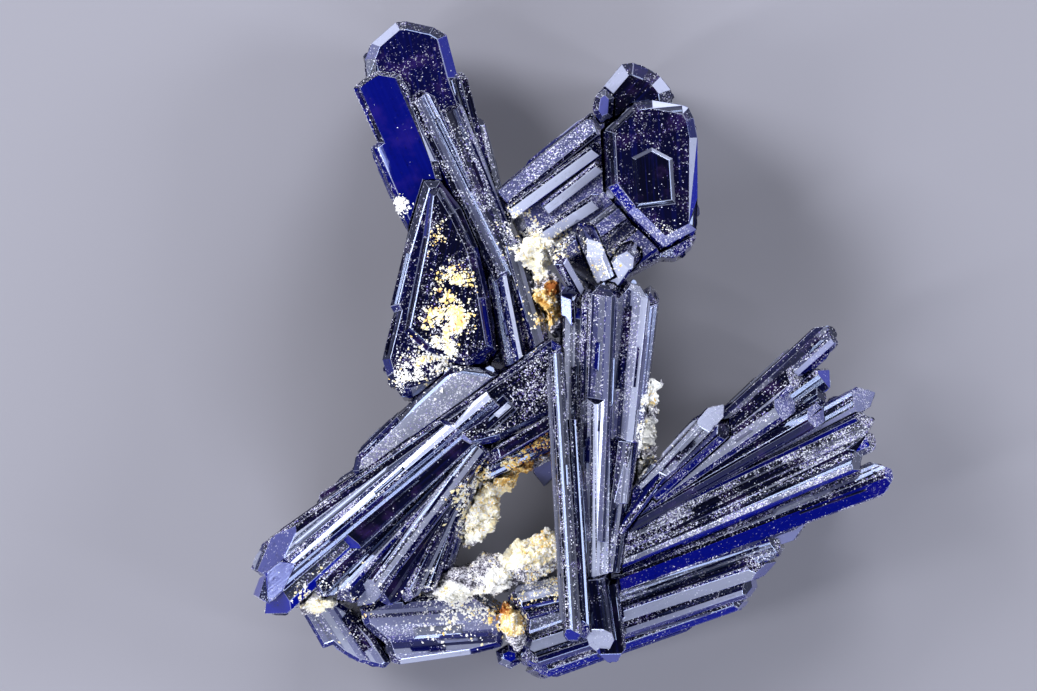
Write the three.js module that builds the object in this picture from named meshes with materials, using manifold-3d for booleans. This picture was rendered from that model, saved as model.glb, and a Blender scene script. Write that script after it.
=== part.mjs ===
// Azurite crystal cluster: fans, blades and blocks of dark blue crystals that grew against each other,
// with crusts of cream clay between them. It lies on its back: +Z is up, +X is right and +Y is away from
// the viewer who looks down on it. Millimetres.
import * as THREE from 'three';
import { mergeVertices } from 'three/addons/utils/BufferGeometryUtils.js';
import Module from 'manifold-3d';

const wasm = await Module();
wasm.setup();

// Driving dimensions
const CONTACT_GAP = 0.3; // between two pieces that grew against each other
const PLATE_CHAMFER = 0.45; // slope round the edge of a tabular crystal
const BLADE_DEPTH = 5; // how far the blades of a fan or bundle reach back from their crowns
const UPPER_LEAN = 13; // degrees that the upper left blades lean back
const CRUST_LUMPINESS = 0.22; // how far a crust lump departs from an ellipsoid, as a share of its radius
const TABLE = 0; // height of the surface that the cluster lies on
const SLIVER = 0.09; // facets thinner than this are merged into their neighbours

// Cross-sections of a bar. The crown is its flat top, between two shares of its half width, and the
// shoulder is how far the slopes beside the crown drop, as a share of the half width.
const HABIT = {
  flat: { crown: [-0.8, 0.8], shoulder: 0.3 },
  bar: { crown: [-0.45, 0.5], shoulder: 0.5 },
  ridge: { crown: [-0.1, 0.15], shoulder: 0.7 },
  left: { crown: [0.4, 0.75], shoulder: 0.7 },
  right: { crown: [-0.75, -0.4], shoulder: 0.7 },
};

// Faces that end a bar: slope across, slope with height, distance back from the tip, and how far below
// the crown that distance holds.
const END = {
  blunt: [[0.1, 0.1, 0, 1], [1.3, 0.15, -0.5, 1], [-1.3, 0.15, -0.4, 1], [0.1, 0.9, -0.1, 1]],
  shear: [[0.7, 0.2, 0, 1], [-1.5, 0.3, -0.3, 1], [0.3, 1, 0, 1.2]],
  swept: [[-0.7, 0.2, 0, 1], [1.5, 0.3, -0.3, 1], [-0.3, 1, 0, 1.2]],
  hood: [[0.15, 0.8, 0, 2.4], [-1.2, 0.2, -0.4, 1], [1.2, 0.2, -0.6, 1]],
  point: [[0.9, 0.2, -0.1, 1], [-0.9, 0.2, -0.1, 1], [0, 0.8, 0, 1.2]],
  cleaver: [[1.5, 0.5, 0, 1.5], [-0.4, 0.2, -0.3, 1], [0.7, 2.2, 0, 1.7]],
  flush: [[0, 0, 0, 0]],
};

// A closed geometry as a solid that can be joined and cut.
function solidOf(geometry) {
  geometry.deleteAttribute('normal');
  geometry.deleteAttribute('uv');
  const merged = mergeVertices(geometry, 1e-5);
  return new wasm.Manifold(new wasm.Mesh({
    numProp: 3,
    vertProperties: new Float32Array(merged.attributes.position.array),
    triVerts: new Uint32Array(merged.index.array),
  }));
}

function joined(solids) {
  return solids.reduce((all, next) => all.add(next));
}

function largestBody(solid) {
  return solid.decompose().reduce((best, next) => (next.volume() > best.volume() ? next : best));
}

// Trims one end of a bar that lies along +Z: the tip at z = 0, or the heel at the given length.
function trimEnd(solid, [across, rise, back, reach], grow, length) {
  const steepness = Math.hypot(across, rise, 1);
  const atHeel = length !== undefined;
  const normal = [-across / steepness, -rise / steepness, (atHeel ? -1 : 1) / steepness];
  const offset = (back + rise * reach - (atHeel ? length : 0)) / steepness;
  return solid.trimByPlane(normal, offset - grow);
}

// A prismatic crystal. tip and root are the ends of its crown line. It is drawn with its tip at the
// origin and its root along +Z, and then turned so that its crown faces up; roll leans that to the right.
// taper is the size at the root against the tip.
function bar(tip, root, width, depth, habit, end, { roll = 0, taper = 1, heel = END.flush } = {}) {
  return (grow) => {
    const axis = new THREE.Vector3(...root).sub(new THREE.Vector3(...tip));
    const length = axis.length();
    const half = width / 2;
    const side = half + grow;
    const shoulder = grow - habit.shoulder * half;
    const belly = -depth - grow;
    const section = new THREE.Shape([
      [-side, belly + 0.6 * half], [0.2 * side, belly], [side, belly + 0.7 * half],
      [side, shoulder], [habit.crown[1] * side, grow], [habit.crown[0] * side, grow], [-side, shoulder],
    ].map(([x, y]) => new THREE.Vector2(x, y)));
    const overrun = 2 * (width + depth); // so that slanting end faces still meet the bar
    const geometry = new THREE.ExtrudeGeometry(section, { depth: length + 2 * overrun, bevelEnabled: false });
    geometry.translate(0, 0, -overrun);
    const place = geometry.attributes.position;
    for (let i = 0; i < place.count; i++) {
      const size = place.getZ(i) > 0 ? taper : 1;
      place.setXY(i, place.getX(i) * size, place.getY(i) * size);
    }
    let solid = solidOf(geometry);
    for (const face of end) solid = trimEnd(solid, face, grow);
    for (const face of heel) solid = trimEnd(solid, face, grow, length);
    const along = axis.normalize();
    const crown = new THREE.Vector3(0, 0, 1).addScaledVector(along, -along.z).normalize();
    crown.applyAxisAngle(along, THREE.MathUtils.degToRad(-roll));
    const across = new THREE.Vector3().crossVectors(crown, along);
    const turn = new THREE.Matrix4().makeBasis(across, crown, along).setPosition(...tip);
    return solid.transform(turn.elements);
  };
}

// A tabular crystal: an outline seen from above, with the middle of its front face at the given height and
// its edges chamfered. It leans about its own middle by angles in degrees.
function plate(front, depth, outline, { chamfer = PLATE_CHAMFER, leanX = 0, leanY = 0 } = {}) {
  return (grow) => {
    const shape = new THREE.Shape(outline.map(([x, y]) => new THREE.Vector2(x, y)));
    const geometry = new THREE.ExtrudeGeometry(shape, {
      depth: depth - 2 * chamfer + 2 * grow,
      bevelThickness: chamfer,
      bevelSize: chamfer,
      bevelOffset: grow - chamfer,
      bevelSegments: 1,
    });
    geometry.computeBoundingBox();
    const middle = geometry.boundingBox.getCenter(new THREE.Vector3());
    geometry.translate(-middle.x, -middle.y, -middle.z);
    geometry.rotateX(THREE.MathUtils.degToRad(leanX));
    geometry.rotateY(THREE.MathUtils.degToRad(leanY));
    geometry.translate(middle.x, middle.y, front - depth / 2);
    return solidOf(geometry);
  };
}

// A crumbly lump of clay: an ellipsoid pushed in and out by slow waves.
function lump(at, size, turn, seed) {
  return (grow) => {
    const geometry = new THREE.IcosahedronGeometry(1, 1);
    const place = geometry.attributes.position;
    const point = new THREE.Vector3();
    const radius = new THREE.Vector3(...size).divideScalar(2).addScalar(grow);
    for (let i = 0; i < place.count; i++) {
      point.fromBufferAttribute(place, i).normalize();
      const ripple = Math.sin(5 * point.x + seed) * Math.sin(4 * point.y + 2 * seed);
      const wave = ripple + Math.sin(7 * point.z + 3 * seed);
      point.multiplyScalar(1 + 0.5 * CRUST_LUMPINESS * wave).multiply(radius);
      place.setXYZ(i, point.x, point.y, point.z);
    }
    geometry.rotateZ(THREE.MathUtils.degToRad(turn));
    geometry.translate(...at);
    return solidOf(geometry);
  };
}

// Slender prism that stands in front of the hole
const needle = [
  bar([0.0, -22.9, 20.4], [-1.4, -0.2, 20.2], 1.3, 2.4, HABIT.left, END.blunt, { taper: 0.7 }),
  bar([0.8, -22.6, 19.8], [-0.2, -5.5, 19.6], 1.0, 2.2, HABIT.ridge, END.shear, { taper: 0.6 }),
];

// Stubby prism beside the needle's foot, its end face turned to the viewer
const shortPrism = [
  bar([2.2, -24.0, 18.0], [1.4, -18.3, 18.8], 2.0, 5, HABIT.bar, END.hood, { roll: 6 }),
  bar([3.2, -24.9, 15.4], [2.4, -18.8, 16.4], 2.2, 5, HABIT.flat, END.blunt),
];

// Upright bundle of prisms in the middle, and the stouter ones behind it
const column = [
  bar([2.3, 5.2, 18.2], [1.5, -15.1, 18.4], 1.9, BLADE_DEPTH, HABIT.flat, END.blunt, { roll: -8 }),
  bar([5.0, 5.2, 17.4], [3.2, -12.0, 17.6], 2.6, BLADE_DEPTH, HABIT.left, END.blunt, { roll: 6 }),
  bar([6.1, 4.4, 15.8], [4.6, -8.4, 16.0], 1.3, BLADE_DEPTH, HABIT.right, END.point),
  bar([0.1, 3.4, 17.3], [-0.1, -9.5, 17.5], 1.8, BLADE_DEPTH, HABIT.flat, END.blunt, { roll: -14 }),
  bar([1.2, 4.6, 17.8], [0.6, -13.5, 18.0], 0.9, BLADE_DEPTH, HABIT.ridge, END.shear),
  bar([1.8, -3.3, 18.8], [1.6, -18.3, 18.4], 2.0, BLADE_DEPTH, HABIT.ridge, END.point, { taper: 1.2 }),
  bar([4.2, -6.3, 17.6], [2.6, -17.5, 17.2], 2.0, BLADE_DEPTH, HABIT.bar, END.point),
  bar([0.5, -7.1, 17.8], [0.7, -18.7, 17.6], 1.5, BLADE_DEPTH, HABIT.ridge, END.shear),
  bar([2.8, 3.8, 12.8], [2.0, -16.4, 13.0], 3.4, 5, HABIT.ridge, END.shear),
  bar([4.8, 2.2, 12.4], [3.4, -12.6, 12.6], 2.6, 4.4, HABIT.bar, END.blunt),
  bar([0.4, 3.8, 12.4], [0.6, -17.2, 12.6], 2.8, 3.6, HABIT.bar, END.point),
];

// Fan of blades that spreads to the lower left, and the stouter ones behind it
const leftFan = [
  bar([-25.1, -17.3, 14.4], [-1.6, -0.4, 17.6], 2.9, BLADE_DEPTH, HABIT.left, END.cleaver, { taper: 0.6 }),
  plate(17.5, 5, [
    [-10.6, -5.4], [-1.7, 0.9], [-1.0, 0.4], [-1.2, -4.6], [-5.8, -6.9], [-8.2, -7.5],
  ], { leanX: 3 }),
  bar([-25.1, -19.5, 14.2], [-6.5, -3.9, 18.2], 2.1, BLADE_DEPTH, HABIT.ridge, END.cleaver, { taper: 0.6 }),
  bar([-24.3, -20.8, 13.0], [-8.2, -6.3, 16.8], 2.4, BLADE_DEPTH, HABIT.bar, END.hood, { taper: 0.6 }),
  bar([-20.6, -19.5, 13.4], [-6.6, -5.5, 17.4], 2.4, BLADE_DEPTH, HABIT.left, END.blunt, { taper: 0.6 }),
  bar([-18.1, -15.9, 15.2], [-5.0, -4.3, 17.9], 1.7, 4, HABIT.right, END.shear, { taper: 0.9, roll: -20 }),
  bar([-18.8, -20.0, 13.6], [-7.3, -7.6, 17.0], 2.4, BLADE_DEPTH, HABIT.ridge, END.swept, { taper: 0.6 }),
  bar([-16.9, -20.1, 14.6], [-7.4, -7.8, 17.2], 1.7, BLADE_DEPTH, HABIT.bar, END.hood, { taper: 0.6 }),
  bar([-15.2, -20.2, 14.0], [-7.9, -8.5, 16.8], 2.1, BLADE_DEPTH, HABIT.left, END.blunt, { taper: 0.6 }),
  bar([-13.6, -20.0, 13.8], [-8.3, -9.3, 16.2], 2.0, BLADE_DEPTH, HABIT.ridge, END.shear, { taper: 0.6 }),
  bar([-12.1, -19.3, 13.4], [-8.5, -10.0, 15.6], 2.0, BLADE_DEPTH, HABIT.right, END.blunt, { taper: 0.6 }),
  bar([-10.7, -18.0, 12.6], [-8.4, -10.3, 15.0], 1.8, BLADE_DEPTH, HABIT.bar, END.point, { taper: 0.7 }),
  bar([-6.9, -8.7, 17.2], [-1.3, -5.4, 17.6], 0.9, 4, HABIT.flat, END.shear),
  bar([-7.8, -9.8, 16.0], [-1.3, -6.6, 16.6], 1.6, 4, HABIT.ridge, END.shear),
  bar([-20.5, -13.4, 8.8], [-3.4, -2.6, 13.2], 3.0, 4.4, HABIT.bar, END.shear, { taper: 0.8 }),
  bar([-21.4, -17.2, 7.6], [-5.2, -4.8, 12.8], 2.8, 4.6, HABIT.ridge, END.blunt, { taper: 0.8 }),
  bar([-17.6, -18.4, 8.0], [-7.0, -7.2, 12.6], 2.8, 4.6, HABIT.left, END.point, { taper: 0.8 }),
  bar([-13.2, -17.2, 7.6], [-7.8, -8.6, 12.0], 2.6, 4.2, HABIT.bar, END.blunt, { taper: 0.8 }),
];

// Plate along the left fan's upper edge
const sidePlate = [
  plate(15.2, 3.6, [
    [-17.5, -9.4], [-17.2, -8.3], [-13.9, -5.1], [-10.6, -2.2], [-9.4, -1.0], [-7.4, -1.2], [-5.8, -1.7],
    [-8.2, -3.8], [-12.2, -6.6], [-15.4, -9.0], [-17.0, -10.0],
  ], { leanX: 8, leanY: -4 }),
];

// Fan of blades that spreads to the right, and the stouter ones behind it
const rightFan = [
  bar([25.7, -9.7, 10.2], [2.2, -18.6, 15.2], 2.9, BLADE_DEPTH, HABIT.ridge, END.blunt, { taper: 0.6 }),
  bar([23.3, -8.2, 11.4], [2.6, -16.9, 15.8], 2.4, BLADE_DEPTH, HABIT.left, END.shear, { taper: 0.6 }),
  bar([24.3, -6.9, 10.4], [3.1, -15.8, 15.6], 2.0, BLADE_DEPTH, HABIT.bar, END.blunt, { taper: 0.6 }),
  bar([24.1, -5.4, 11.2], [3.6, -14.8, 15.8], 2.0, BLADE_DEPTH, HABIT.right, END.swept, { taper: 0.6 }),
  bar([24.0, -3.4, 10.4], [4.4, -13.4, 15.2], 1.9, BLADE_DEPTH, HABIT.left, END.hood, { taper: 0.6 }),
  bar([20.4, -4.6, 13.2], [4.2, -13.9, 16.6], 1.8, 4, HABIT.ridge, END.hood, { taper: 0.6 }),
  bar([17.8, -3.8, 14.2], [5.0, -12.7, 16.6], 1.9, 4, HABIT.bar, END.hood, { taper: 0.6 }),
  bar([18.6, -1.2, 13.0], [5.4, -12.3, 16.0], 1.6, 4, HABIT.left, END.hood, { taper: 0.6 }),
  bar([21.0, 1.8, 10.8], [6.0, -11.6, 15.0], 2.4, BLADE_DEPTH, HABIT.left, END.blunt, { taper: 0.6 }),
  bar([20.7, -1.6, 11.0], [5.8, -12.2, 15.4], 2.2, BLADE_DEPTH, HABIT.right, END.shear, { taper: 0.6 }),
  bar([20.2, -3.2, 11.4], [5.4, -12.9, 15.6], 2.2, BLADE_DEPTH, HABIT.ridge, END.blunt, { taper: 0.6 }),
  bar([23.0, -9.4, 5.0], [3.6, -16.8, 11.4], 3.0, 5.6, HABIT.bar, END.blunt, { taper: 0.8 }),
  bar([21.8, -6.4, 6.0], [4.4, -14.8, 11.6], 2.8, 5, HABIT.ridge, END.shear, { taper: 0.8 }),
  bar([20.0, -3.4, 6.4], [5.2, -13.2, 11.6], 2.8, 5, HABIT.bar, END.point, { taper: 0.8 }),
  bar([16.8, -2.4, 7.0], [5.8, -11.8, 11.6], 2.6, 4.6, HABIT.left, END.blunt, { taper: 0.8 }),
];

// Short spears in the angle between the column and the right fan
const innerSpears = [
  bar([11.5, -4.8, 16.4], [5.6, -11.1, 17.2], 1.4, 4, HABIT.right, END.hood, { taper: 0.8 }),
  bar([12.4, -5.9, 15.8], [6.3, -11.3, 17.0], 1.4, 4, HABIT.ridge, END.shear, { taper: 0.8 }),
  bar([7.4, -8.8, 17.0], [3.4, -14.2, 17.6], 1.6, 4, HABIT.left, END.shear, { taper: 0.8 }),
];

// Parallel bars along the bottom, in three layers down to the table
const lowerBars = [
  bar([13.5, -19.7, 10.0], [-3.0, -25.5, 9.6], 1.7, BLADE_DEPTH, HABIT.bar, END.blunt, { heel: END.point }),
  bar([14.2, -18.5, 11.4], [-3.9, -24.5, 11.0], 2.0, BLADE_DEPTH, HABIT.left, END.blunt, { heel: END.point }),
  bar([15.1, -17.0, 12], [-4.2, -23.4, 11.4], 1.9, BLADE_DEPTH, HABIT.ridge, END.swept, { heel: END.point }),
  bar([16.5, -15.4, 11.6], [-4.2, -22.1, 11.8], 1.9, BLADE_DEPTH, HABIT.right, END.blunt, { heel: END.point }),
  bar([17.8, -14.1, 10.6], [-4.6, -20.9, 12.2], 1.9, BLADE_DEPTH, HABIT.left, END.hood, { heel: END.point }),
  bar([-4.9, -19.9, 12.8], [0.4, -18.7, 13.0], 1.9, 4, HABIT.right, END.blunt),
  bar([12.0, -19.5, 7.2], [-2.2, -24.5, 6.8], 2.2, 4, HABIT.ridge, END.shear, { heel: END.point }),
  bar([13.4, -17.4, 7.8], [-3.4, -22.6, 7.4], 2.8, 4.2, HABIT.bar, END.blunt, { heel: END.point }),
  bar([14.6, -15.2, 7.4], [-2.8, -20.8, 7.6], 2.2, 4, HABIT.left, END.blunt, { heel: END.point }),
  bar([10.8, -19.0, 3.6], [-1.0, -23.2, 3.8], 3.0, 4.6, HABIT.bar, END.blunt, { heel: END.point }),
  bar([12.6, -16.2, 3.9], [0.2, -20.4, 4.1], 2.8, 4.8, HABIT.ridge, END.point, { heel: END.point }),
];

// Stout crystal at the lower left, with a broken end and a foot behind it
const lowerLeftCrystal = [
  plate(11.0, 5.5, [
    [-16.6, -21.7], [-15.0, -23.1], [-14.5, -24.6], [-13.8, -24.8], [-8.2, -24.0], [-5.8, -23.4],
    [-5.4, -20.9], [-7.8, -19.0], [-14.6, -19.5], [-17.0, -20.4],
  ], { leanX: 6 }),
  plate(9.8, 6, [
    [-21.6, -20.2], [-20.9, -21.4], [-19.8, -23.4], [-19.0, -23.1], [-18.2, -23.8], [-17.0, -24.5],
    [-15.0, -25.0], [-14.5, -24.6], [-15.8, -22.5], [-17.8, -20.3], [-19.4, -19.3],
  ], { leanX: 8, leanY: -5, chamfer: 0.3 }),
  plate(6.6, 7, [
    [-15.8, -21.2], [-14.4, -23.6], [-9.4, -23.2], [-6.8, -22.2], [-7.4, -20.2], [-12.4, -19.6],
  ], { chamfer: 0.9, leanX: -4, leanY: 3 }),
];
const bottomChip = [
  plate(9.6, 3, [[-6.1, -24.1], [-5.2, -23.6], [-4.2, -23.9], [-4.2, -24.9], [-5.0, -25.4], [-5.9, -25.0]]),
];

// Spear-shaped crystal at the left with its knob, the raised face on it and the crystal behind it
const wedgeCrystal = [
  plate(14.0, 4.6, [
    [-11.8, 13.4], [-10.6, 13.4], [-9.0, 11.3], [-7.6, 8.1], [-6.6, 4.1], [-6.0, -0.1], [-7.4, -1.7],
    [-10.6, -2.7], [-12.6, -3.8], [-13.5, -3.8], [-14.6, -2.2], [-15.0, -0.9], [-14.5, 1.3], [-14.1, 2.9],
    [-14.4, 3.4], [-14.0, 4.9], [-13.4, 7.7], [-12.4, 11.3],
  ], { leanX: -6, leanY: -4, chamfer: 0.6 }),
  plate(15.2, 4, [
    [-11.4, 12.5], [-10.6, 12.9], [-9.4, 10.9], [-7.8, 7.7], [-6.9, 4.1], [-6.2, 0.1], [-8.2, -1.4],
    [-11.4, -0.1], [-13.2, 1.4], [-12.9, 3.3], [-11.8, 8.9],
  ], { leanX: -6, leanY: -6 }),
  bar([-11.4, 9.6, 8.6], [-10.6, -2.4, 10.6], 4.2, 3.6, HABIT.ridge, END.point),
];

// Tall blades at the upper left: a front plate, the slats along it and a blade behind that reaches the table
const upperLeftBlades = [
  plate(11.0, 4.8, [
    [-16.6, 23.3], [-16.1, 24.6], [-14.2, 26.3], [-13.4, 26.4], [-11.2, 25.9], [-10.2, 25.3],
    [-9.9, 24.1], [-9.3, 21.8], [-8.2, 18.5], [-6.9, 13.7], [-5.6, 9.7], [-4.3, 5.7], [-2.8, 0.5],
    [-4.4, -1.4], [-6.8, -1.6], [-8.4, 3.0], [-11.4, 12.1], [-13.4, 17.7], [-15.0, 20.5], [-16.4, 21.7],
  ], { chamfer: 0.8, leanX: -UPPER_LEAN }),
  plate(11.4, 4.4, [
    [-17.5, 20.8], [-16.7, 21.5], [-15.6, 22.2], [-13.9, 21.9], [-13.2, 20.7], [-12.6, 19.0],
    [-10.8, 14.8], [-10.2, 12.9], [-10.6, 10.9], [-11.8, 8.1], [-12.8, 8.9], [-14.3, 12.1], [-16.0, 15.9],
    [-15.4, 16.3], [-15.6, 16.8],
  ], { leanX: -UPPER_LEAN, leanY: -5 }),
  bar([-12.6, 20.8, 10.0], [-5.4, 6.0, 13.5], 2.2, 4, HABIT.right, END.blunt),
  bar([-10.1, 20.1, 9.9], [-4.2, 5.0, 13.3], 1.9, 4, HABIT.bar, END.point),
  bar([-9.0, 22.5, 8.6], [-5.3, 8.0, 12.0], 0.7, 4, HABIT.flat, END.blunt, { roll: 16 }),
  bar([-7.6, 18.8, 9.2], [-4.6, 6.5, 12.1], 0.8, 4, HABIT.flat, END.blunt, { roll: 16 }),
  bar([-6.1, 6.7, 13.5], [-4.6, -0.9, 15.0], 1.6, 4, HABIT.left, END.blunt),
  bar([-5.2, 9.3, 12.5], [-2.6, 0.2, 14.5], 1.5, 4, HABIT.bar, END.point),
  plate(7.2, 5.6, [
    [-15.4, 22.0], [-14.9, 23.8], [-13.4, 24.8], [-11.4, 24.4], [-10.2, 22.6], [-8.6, 17.0], [-6.6, 9.6],
    [-5.4, 3.6], [-8.4, 5.2], [-12.0, 13.6],
  ], { chamfer: 1.1, leanX: -UPPER_LEAN, leanY: 4 }),
];

// Blocky crystals at the upper right, and the striated plate that carries them
const upperRightBlock = [
  plate(13.6, 6.4, [
    [2.4, 17.5], [4.8, 19.7], [6.2, 19.9], [8.6, 19.5], [9.1, 19.3], [9.5, 18.5], [9.8, 16.9],
    [9.8, 12.1], [9.7, 9.5], [7.0, 8.1], [4.2, 10.9], [2.6, 12.9],
  ], { chamfer: 0.7, leanX: -4, leanY: 4 }),
  plate(13.9, 3, [
    [4.6, 15.4], [6.2, 16.2], [7.9, 15.3], [8.1, 11.7], [4.9, 11.3],
  ], { chamfer: 0.3, leanX: -4, leanY: 4 }),
];
const upperRightBack = [
  plate(10.2, 6.0, [
    [1.8, 20.1], [2.0, 20.6], [3.9, 22.8], [4.8, 22.9], [6.0, 22.4], [6.9, 21.8], [7.7, 20.8],
    [7.9, 19.6], [8.0, 15.0], [3.0, 15.0], [1.8, 17.0],
  ], { chamfer: 1.0, leanX: -4, leanY: 2 }),
  plate(5.8, 6.6, [
    [2.6, 19.2], [3.4, 21.2], [5.2, 22.0], [7.0, 21.2], [7.8, 19.0], [7.0, 15.8], [3.6, 15.4],
  ], { chamfer: 1.2, leanX: -6, leanY: -4 }),
];
const upperRightBud = [
  plate(11.6, 3, [
    [1.9, 20.4], [2.6, 20.9], [3.2, 20.3], [3.1, 18.8], [2.2, 18.4], [1.7, 19.2],
  ], { chamfer: 0.35 }),
];
const striatedPlate = [
  plate(11.0, 5, [
    [-5.8, 12.9], [-4.2, 14.3], [-1.0, 16.9], [1.9, 19.3], [5.4, 19.8], [9.5, 16.9], [9.7, 9.0],
    [9.4, 8.3], [8.2, 7.4], [7.0, 7.4], [4.2, 5.9], [2.2, 4.9], [-1.0, 7.1], [-4.2, 9.3],
  ], { leanX: -5, chamfer: 0.7 }),
  bar([2.2, 18.3, 11.2], [-5.4, 12.2, 12.0], 1.6, 4, HABIT.left, END.blunt),
  bar([2.2, 16.4, 11.8], [-5.0, 11.1, 12.4], 1.0, 4, HABIT.right, END.blunt),
  bar([2.5, 15.1, 11.6], [-2.2, 11.4, 12.0], 0.9, 4, HABIT.right, END.blunt),
  bar([2.2, 12.2, 11.9], [-3.0, 8.9, 12.5], 1.1, 4, HABIT.right, END.blunt),
  bar([5.4, 12.1, 11.8], [-0.6, 7.7, 12.6], 1.9, 4, HABIT.bar, END.blunt),
  bar([9.6, 11.8, 11.4], [3.0, 6.7, 12.4], 2.4, 4, HABIT.flat, END.blunt),
  bar([6.8, 14.4, 6.2], [-2.6, 9.4, 8.0], 4.4, 4.2, HABIT.ridge, END.blunt),
  bar([8.6, 11.4, 5.2], [1.4, 7.4, 7.4], 3.0, 3, HABIT.bar, END.shear),
];

// Small crystals where the column, the upper blades and the striated plate meet
const junctionCrystals = [
  bar([-1.3, 7.7, 17.0], [0.6, 4.3, 16.8], 1.0, 4, HABIT.ridge, END.point),
  bar([-0.4, 5.0, 18.0], [-0.3, 2.1, 17.6], 1.1, 4, HABIT.left, END.point),
  bar([1.4, 8.6, 16.4], [2.6, 5.7, 15.8], 1.4, 5, HABIT.bar, END.shear),
  bar([4.4, 7.6, 15.8], [3.0, 5.6, 15.4], 1.6, 5, HABIT.flat, END.blunt),
];
const windowCrystal = [
  bar([-2.2, -10.4, 13.4], [-2.0, -7.0, 14.0], 1.9, 4, HABIT.left, END.hood),
];

// Clay crusts, each cut back by the crystals that it grew on
const crusts = {
  crust_above_column: [
    lump([-3.3, 7.5, 12.2], [5.0, 3.4, 2.8], 35, 1),
    lump([-2.0, 3.9, 12.9], [2.8, 6.6, 3.8], 12, 2),
  ],
  crust_left_of_hole: [
    lump([-7.6, -12.9, 12.6], [3.8, 6.0, 5], -22, 4),
    lump([-6.0, -10.2, 12.9], [3.6, 3.0, 5], 30, 5),
    lump([-3.6, -8.4, 13.2], [5.0, 2.4, 4.4], 34, 6),
  ],
  crust_below_hole: [
    lump([-2.9, -16.5, 12.4], [6.4, 3.6, 5], 22, 7),
    lump([-6.4, -17.8, 11.8], [6.4, 3.8, 5.4], 10, 8),
    lump([-9.4, -18.6, 11.2], [5.0, 3.2, 5], -4, 9),
  ],
  crust_beside_column: [
    lump([5.7, -4.6, 12.6], [2.0, 5.4, 5], -6, 10),
    lump([5.4, -8.2, 12.8], [2.8, 5.6, 5], -10, 11),
  ],
  crust_on_wedge: [
    lump([-9.4, 4.8, 15.4], [3.0, 6.0, 2.6], 10, 12),
    lump([-9.8, 0.8, 15.8], [4.2, 5.0, 2.6], -10, 13),
  ],
  crust_at_fan_foot: [lump([-20.2, -19.6, 10.6], [4.4, 2.8, 5.4], 30, 14)],
  crust_on_lower_bars: [lump([-4.9, -21.8, 12], [2.6, 4, 3], 14, 15)],
};

const azurite = new THREE.MeshStandardMaterial({ color: 0x0a0f4a, roughness: 0.15, metalness: 0 });
const clay = new THREE.MeshStandardMaterial({ color: 0xf0dfae, roughness: 0.9, metalness: 0 });

// In order of who keeps its full shape: a later piece is cut back from all those before it.
const pieces = [
  ['needle', needle, azurite],
  ['short_prism', shortPrism, azurite],
  ['column', column, azurite],
  ['left_fan', leftFan, azurite],
  ['inner_spears', innerSpears, azurite],
  ['right_fan', rightFan, azurite],
  ['side_plate', sidePlate, azurite],
  ['wedge_crystal', wedgeCrystal, azurite],
  ...junctionCrystals.map((crystal, i) => [`junction_crystal_${i + 1}`, [crystal], azurite]),
  ['upper_left_blades', upperLeftBlades, azurite],
  ['upper_right_block', upperRightBlock, azurite],
  ['upper_right_bud', upperRightBud, azurite],
  ['upper_right_back', upperRightBack, azurite],
  ['striated_plate', striatedPlate, azurite],
  ['window_crystal', windowCrystal, azurite],
  ['lower_bars', lowerBars, azurite],
  ['lower_left_crystal', lowerLeftCrystal, azurite],
  ['bottom_chip', bottomChip, azurite],
  ...Object.entries(crusts).map(([name, lumps]) => [name, lumps, clay]),
];

const cluster = new THREE.Group();
let taken = null;
for (const [name, shapes, material] of pieces) {
  let solid = joined(shapes.map((shape) => shape(0)));
  if (taken) solid = solid.subtract(taken);
  solid = largestBody(solid.trimByPlane([0, 0, 1], TABLE).simplify(SLIVER));
  const mesh = solid.getMesh();
  const geometry = new THREE.BufferGeometry();
  geometry.setAttribute('position', new THREE.BufferAttribute(new Float32Array(mesh.vertProperties), 3));
  geometry.setIndex(new THREE.BufferAttribute(new Uint32Array(mesh.triVerts), 1));
  const node = new THREE.Mesh(geometry, material);
  node.name = name;
  cluster.add(node);
  const clearance = joined(shapes.map((shape) => shape(CONTACT_GAP)));
  taken = taken ? taken.add(clearance) : clearance;
}

const bounds = new THREE.Box3().setFromObject(cluster);
const middle = bounds.getCenter(new THREE.Vector3());
cluster.position.set(-middle.x, -middle.y, TABLE - bounds.min.z);

export default cluster;
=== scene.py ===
import bmesh
import bpy
import math
import numpy as np
import random
from mathutils import Matrix, Vector, noise
from mathutils.bvhtree import BVHTree


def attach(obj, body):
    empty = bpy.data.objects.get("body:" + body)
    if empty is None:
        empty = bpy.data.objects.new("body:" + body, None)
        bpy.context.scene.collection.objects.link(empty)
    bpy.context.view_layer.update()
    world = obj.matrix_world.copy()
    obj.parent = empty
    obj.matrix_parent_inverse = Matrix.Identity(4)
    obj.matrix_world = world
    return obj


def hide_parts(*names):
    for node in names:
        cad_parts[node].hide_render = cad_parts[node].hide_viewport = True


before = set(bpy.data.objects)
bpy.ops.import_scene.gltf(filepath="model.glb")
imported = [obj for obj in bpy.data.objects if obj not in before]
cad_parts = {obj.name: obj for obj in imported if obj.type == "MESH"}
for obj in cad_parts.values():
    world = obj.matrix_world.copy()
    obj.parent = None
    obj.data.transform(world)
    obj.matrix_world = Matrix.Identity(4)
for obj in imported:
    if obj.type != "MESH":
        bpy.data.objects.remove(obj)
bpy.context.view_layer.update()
print("frame loaded:", len(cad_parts), "nodes")

mm = 0.001  # the scene is in metres, and the sizes below are in mm
perMetre = 1000
toMm, toMetres = Matrix.Scale(perMetre, 4), Matrix.Scale(mm, 4)
weld = 0.002  # corners of a CAD solid that are this close are one
rayStart, down = 60, Vector((0, 0, -1))  # rays from above find the surface at a place

# the view: image pixels of the photographed frame, laid over the table plane in mm
view = {"imageWide": 1037, "imageHigh": 691, "mmPerPixel": 0.08, "middle": (-4.305, 0.376),
        "focusHeight": 12.0, "lens": 520.0, "sensor": 36.0, "clip": (0.01, 20)}


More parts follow.
